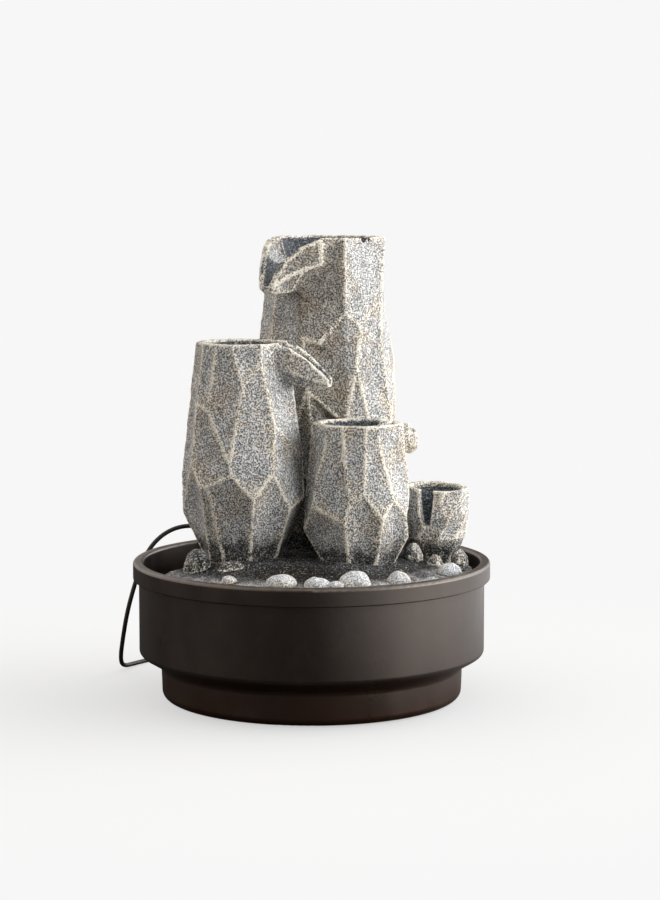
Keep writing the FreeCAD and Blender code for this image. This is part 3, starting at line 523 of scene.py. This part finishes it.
def rough_stone(node, name, material, voxel_mm=1.0, sharp=(2.5, 9), lumps_mm=0.4, grain_mm=0.14,
                cup=None, wash_and_shade=None, pale=None, front_darkening=None, seed=1):
    """Replaces a faceted CAD stone with a cast one: raised worn ridges, low lumps and a gritty skin.

    sharp is the fold, in degrees, at which an edge begins to be a ridge, and at which it is fully one.
    cup, wash_and_shade, pale and front_darkening say where their colour goes, from 0 to 1: painted shade
    inside the cups, a dark wash low down with painted shade between pillars, pale dust, and a darker front.
    """
    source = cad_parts[node].data
    points, weights = ridge_points(source, *sharp)
    piece = remeshed(node, name, voxel_mm)
    mesh = piece.data
    coords = vertex_array(mesh)
    distance, edge = nearest(coords, points, weights)
    distance = distance / MM
    ridge = np.exp(-(distance / RIDGE_WIDTH) ** 2) * edge
    hold = 0.9 * np.exp(-(distance / HELD_WIDTH) ** 2) * edge + 0.02
    coords = relaxed(mesh, coords, hold, RELAX_ROUNDS)
    put_back(mesh, coords)
    normals = normal_array(mesh)
    size = coords / MM
    push = RIDGE_HEIGHT * ridge * (0.65 + 0.5 * lattice_noise(size, 7, seed))
    push += lumps_mm * (0.6 * lattice_noise(size, 10, seed + 1) + 0.4 * lattice_noise(size, 4.5, seed + 2))
    push += grain_mm * (lattice_noise(size, 2.3, seed + 3) + 0.6 * lattice_noise(size, 1.4, seed + 4))
    shaded_inside = np.zeros(len(coords)) if cup is None else cup(size, normals)
    push *= 1 - 0.5 * shaded_inside
    put_back(mesh, coords + normals * push[:, None] * MM)
    wander = 0.85 + 0.4 * lattice_noise(size, 8, seed + 5) + 0.3 * lattice_noise(size, 2.5, seed + 7)
    paint(mesh, "ridge", np.exp(-(distance / WORN_WIDTH) ** 2) * edge * wander * (1 - 0.25 * shaded_inside))
    paint(mesh, "halo", np.exp(-(distance / HALO_WIDTH) ** 2) * edge * (1 - shaded_inside))
    paint(mesh, "cup", shaded_inside)
    if wash_and_shade is not None:
        paint(mesh, "wash_and_shade", wash_and_shade(size))
    if pale is not None:
        paint(mesh, "pale", pale(size))
    if front_darkening is not None:
        paint(mesh, "front_darkening", front_darkening(size))
    mesh.materials.clear()
    mesh.materials.append(material)
    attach(piece, "rockwork")
    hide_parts(node)


def cup_shade(x, y, radius, floor, top, azimuth=None, reach=0, half_width=0, lip=0):
    """Where a cup's inside and its spout's channel are, from 0 to 1, for a stone whose axis is at x, y; the
    stone is painted in shade there.
    """
    def shade(size, normals):
        dx, dy = size[:, 0] - x, size[:, 1] - y
        out = np.hypot(dx, dy)
        inward = -(normals[:, 0] * dx + normals[:, 1] * dy) / np.maximum(out, 1)
        wall = (out < radius + 1.5) & (size[:, 2] > floor - 1) & (inward > 0.3)
        bottom = (out < radius - 2) & (np.abs(size[:, 2] - floor) < 3) & (normals[:, 2] > 0.6)
        result = ((wall | bottom) & (size[:, 2] < top - 1.8)).astype(float)
        if azimuth is not None:
            angle = math.radians(azimuth)
            along = dx * math.sin(angle) - dy * math.cos(angle)
            side = dx * math.cos(angle) + dy * math.sin(angle)
            facing = normals[:, 0] * math.cos(angle) + normals[:, 1] * math.sin(angle)
            towards_middle = -facing * np.sign(side)
            channel = ((along > radius - 8) & (along < reach) & (np.abs(side) < half_width)
                       & (size[:, 2] > lip) & (size[:, 2] < top - 1.5)
                       & ((normals[:, 2] > 0.45) | (towards_middle > 0.35)))
            result = np.maximum(result, channel.astype(float) * 0.9)
        return result
    return shade


# the pillars as (x, y, usual radius, top)
TALL = (13, 62, 54, 345)
LEFT = (-53, -18, 45, 278)
FRONT = (36, -26, 38, 218)
SMALL = (98, 10, 23, 162)


def settled_wash_and_shade(height, *neighbours, reach=9):
    """Where the stone is painted dark, from 0 to 1: a dark wash below a height, and painted shade close to
    neighbouring pillars.
    """
    def shade(size):
        wander = lattice_noise(size, 8, 97)
        share = (height - size[:, 2] + 5 * wander) / 10
        for x, y, radius, top in neighbours:
            gap = np.hypot(size[:, 0] - x, size[:, 1] - y) - radius + 3 * wander
            near = np.exp(-(np.maximum(gap, 0) / reach) ** 2) * np.clip((top - size[:, 2]) / 30, 0, 1)
            share = np.maximum(share, near)
        return share
    return shade


def tall_front_darkening(size):
    """Darker brown on the tall stone's front, between its two upright ridges."""
    azimuth = np.degrees(np.arctan2(size[:, 0] - TALL[0], TALL[1] - size[:, 1]))
    between = np.clip((azimuth + 34) / 4, 0, 1) * np.clip((19 - azimuth) / 4, 0, 1)
    return between * np.clip((size[:, 2] - 190) / 30, 0, 1)


def deck_pale(size):
    """Pale dust on the outer slope of the deck, most of it to the left and the front."""
    out = np.hypot(size[:, 0], size[:, 1])
    azimuth = np.degrees(np.arctan2(size[:, 0], -size[:, 1]))
    share = (out - 97 + 5 * lattice_noise(size, 14, 91)) / 14
    return np.clip(share, 0, 1) * np.where(azimuth < -35, 0.88, 0.98)


def make_stones():
    granite = pillar_stone()
    dark = deck_stone()
    rough_stone("tall_pillar", "tall_stone", granite, seed=11,
                wash_and_shade=settled_wash_and_shade(136, LEFT, FRONT, SMALL), front_darkening=tall_front_darkening,
                cup=cup_shade(13, 62, 38.5, 334, 359.5, -39.5, 74, 15, 322))
    rough_stone("left_pillar", "left_stone", granite, seed=23,
                wash_and_shade=settled_wash_and_shade(136, TALL, FRONT),
                cup=cup_shade(-53, -18, 30, 258, 281, 75, 70, 7, 248))
    rough_stone("front_pillar", "front_stone", granite, seed=37,
                wash_and_shade=settled_wash_and_shade(132, TALL, LEFT, SMALL),
                cup=cup_shade(36, -26, 28.5, 200, 219.5, 126, 54, 6, 196))
    rough_stone("small_cup", "small_stone", granite, voxel_mm=0.8, seed=41, sharp=(16, 34),
                wash_and_shade=settled_wash_and_shade(128, TALL, FRONT), cup=cup_shade(98, 10, 21, 133, 164))
    rough_stone("left_boulders", "left_boulder_stones", granite, voxel_mm=0.8, seed=53,
                wash_and_shade=settled_wash_and_shade(118, LEFT), sharp=(40, 80), lumps_mm=0.9)
    rough_stone("right_boulders", "right_boulder_stones", granite, voxel_mm=0.8, seed=59,
                wash_and_shade=settled_wash_and_shade(120, FRONT, SMALL), sharp=(40, 80), lumps_mm=1.1)
    # on the deck only the painted shade round the pillars' feet, nothing below a height
    rough_stone("rock_base", "deck", dark, voxel_mm=1.5, seed=67, lumps_mm=1.5, grain_mm=0.3,
                wash_and_shade=settled_wash_and_shade(0, TALL, LEFT, FRONT, SMALL, reach=16), sharp=(12, 40), pale=deck_pale)
    rough_stone("pebbles", "pebble_stones", pebble_stone(), voxel_mm=0.7, seed=71,
                sharp=(60, 90), lumps_mm=1.2, grain_mm=0.1)


# ---------------------------------------------------------------- studio

# how bright the floor looks by itself: far from the object, and close round it, where shadows show
FLOOR_SHADE = 0.93
NEAR_GLOW = 0.55


def make_studio():
    mesh = bpy.data.meshes.new("floor")
    half = 9
    corners = [(-half, -half, 0), (half, -half, 0), (half, half, 0), (-half, half, 0)]
    mesh.from_pydata(corners, [], [(0, 1, 2, 3)])
    floor = collection_link(bpy.data.objects.new("floor", mesh))
    mesh.materials.append(floor_paint())
    make_world()
    panel("key", (2.2, -0.25, 0.7), (0, 0, 0.2), 2.6, 1.4, 24)
    panel("top", (0.5, -0.8, 2.9), (0, 0, 0.2), 1.8, 1.8, 10)


def floor_paint():
    """A bright sweep to the eye, and a dim one to the object, painted brighter to its right as if lit there,
    with soft shadows only near the object.
    """
    n = Nodes("floor_paint", roughness=0.9, specular=0.05)
    away = n.new("VectorMath", operation="LENGTH")
    n.link(n.place, away.inputs[0])
    far = n.ramp(away.outputs["Value"], (0.22, 0.0), (0.62, 1.0), smooth=True)
    n.finish((0.29, 0.29, 0.29))
    glow = n.new("Emission")
    n.link((1.0, 1.0, 1.0), glow.inputs[0])
    n.link(n.math("ADD", n.math("MULTIPLY", far, FLOOR_SHADE - NEAR_GLOW), NEAR_GLOW), glow.inputs[1])
    lit = n.new("MixShader")
    n.link(far, lit.inputs[0])
    n.link(n.shader.outputs[0], lit.inputs[1])
    lit_and_glow = n.new("AddShader")
    n.link(lit.outputs[0], lit_and_glow.inputs[0])
    n.link(glow.outputs[0], lit_and_glow.inputs[1])
    # to the object the floor is dim, painted brighter to its right as a painted pool of the key light
    dim = n.new("BsdfDiffuse")
    split = n.new("SeparateXYZ")
    n.link(n.place, split.inputs[0])
    n.link(n.ramp(split.outputs[0], (0.08, 0.05), (0.42, 0.80)), dim.inputs[0])
    seen = n.new("MixShader")
    n.link(n.new("LightPath").outputs["Is Camera Ray"], seen.inputs[0])
    n.link(dim.outputs[0], seen.inputs[1])
    n.link(lit_and_glow.outputs[0], seen.inputs[2])
    n.link(seen.outputs[0], n.tree.nodes["Material Output"].inputs["Surface"])
    return n.material


def make_world():
    """White to the eye. To the object, a studio: bright to its right, dimmer to its left and above."""
    world = bpy.data.worlds.new("studio")
    world.use_nodes = True
    tree = world.node_tree
    toward = tree.nodes.new("ShaderNodeTexCoord").outputs["Generated"]
    total = (0, 0, 0, 1)
    for direction, tint, stops in (
            ((0.98, 0.19, 0.05), (1.0, 0.98, 0.97), ((0.42, 0.0), (0.66, 2.0), (1.0, 3.6))),
            ((-0.98, 0.19, 0.05), (1.0, 0.92, 0.86), ((0.10, 0.0), (0.6, 0.85), (1.0, 1.1))),
            ((0.0, 0.0, 1.0), (0.97, 0.99, 1.0), ((0.0, 0.015), (0.45, 0.30), (1.0, 0.65)))):
        dot = tree.nodes.new("ShaderNodeVectorMath")
        dot.operation = "DOT_PRODUCT"
        dot.inputs[1].default_value = direction
        tree.links.new(toward, dot.inputs[0])
        ramp = tree.nodes.new("ShaderNodeValToRGB")
        ramp.color_ramp.elements.new(0.5)
        for element, (place, shade) in zip(ramp.color_ramp.elements, stops):
            element.position = place
        for element, (place, shade) in zip(ramp.color_ramp.elements, stops):
            element.color = (*(shade * part for part in tint), 1)
        tree.links.new(dot.outputs["Value"], ramp.inputs[0])
        total = add_colours(tree, ramp.outputs[0], total)
    pick = tree.nodes.new("ShaderNodeMix")
    pick.data_type = "RGBA"
    tree.links.new(tree.nodes.new("ShaderNodeLightPath").outputs["Is Camera Ray"], pick.inputs[0])
    tree.links.new(total, pick.inputs[6])
    pick.inputs[7].default_value = (FLOOR_SHADE, FLOOR_SHADE, FLOOR_SHADE, 1)
    tree.links.new(pick.outputs[2], tree.nodes["Background"].inputs["Color"])
    bpy.context.scene.world = world


def add_colours(tree, first, second):
    node = tree.nodes.new("ShaderNodeMix")
    node.data_type = "RGBA"
    node.blend_type = "ADD"
    node.inputs[0].default_value = 1
    for value, target in ((first, node.inputs[6]), (second, node.inputs[7])):
        if isinstance(value, tuple):
            target.default_value = value
        else:
            tree.links.new(value, target)
    return node.outputs[2]


def panel(name, place, target, width, height, power):
    data = bpy.data.lights.new(name, "AREA")
    data.shape = "RECTANGLE"
    data.size = width
    data.size_y = height
    data.energy = power
    light = collection_link(bpy.data.objects.new(name, data))
    light.visible_camera = False
    light.location = place
    light.rotation_euler = (Vector(target) - Vector(place)).to_track_quat("-Z", "Y").to_euler()


# ---------------------------------------------------------------- pump and basin

def paint_nodes():
    black = moulded("pump_plastic", (0.022, 0.022, 0.024))
    white = moulded("impeller_plastic", (0.72, 0.72, 0.70), 0.9, 0.03)
    sealing = rubber("black_rubber")
    looks = {
        "basin": basin_plastic(),
        "foot_pads": sealing, "shaft_bushings": sealing, "suction_cups": sealing, "cord_gland": sealing,
        "pump_housing": black, "volute_cover": black, "outlet_spigot": black, "intake_cover": black,
        "cup_nozzle": black,
        "impeller": white, "flow_dial": white,
        "pump_shaft": ceramic("ceramic"),
        "rotor_magnet": metal("magnet", (0.10, 0.10, 0.105), 0.45, 0.6),
        "riser_tube": clear_hose("clear_hose"),
        "plug_body": vinyl("plug_vinyl"),
        "plug_barrel": metal("plug_metal", (0.78, 0.77, 0.74), 0.18),
        "plug_insulator": moulded("plug_insulation", (0.02, 0.02, 0.022), 0.6, 0.02, (0.25, 0.35)),
    }
    for node, material in looks.items():
        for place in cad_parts[node].material_slots:
            place.material = material


bpy.context.scene.view_settings.view_transform = "Standard"
make_camera()
make_cord()
make_stones()
paint_nodes()
make_studio()
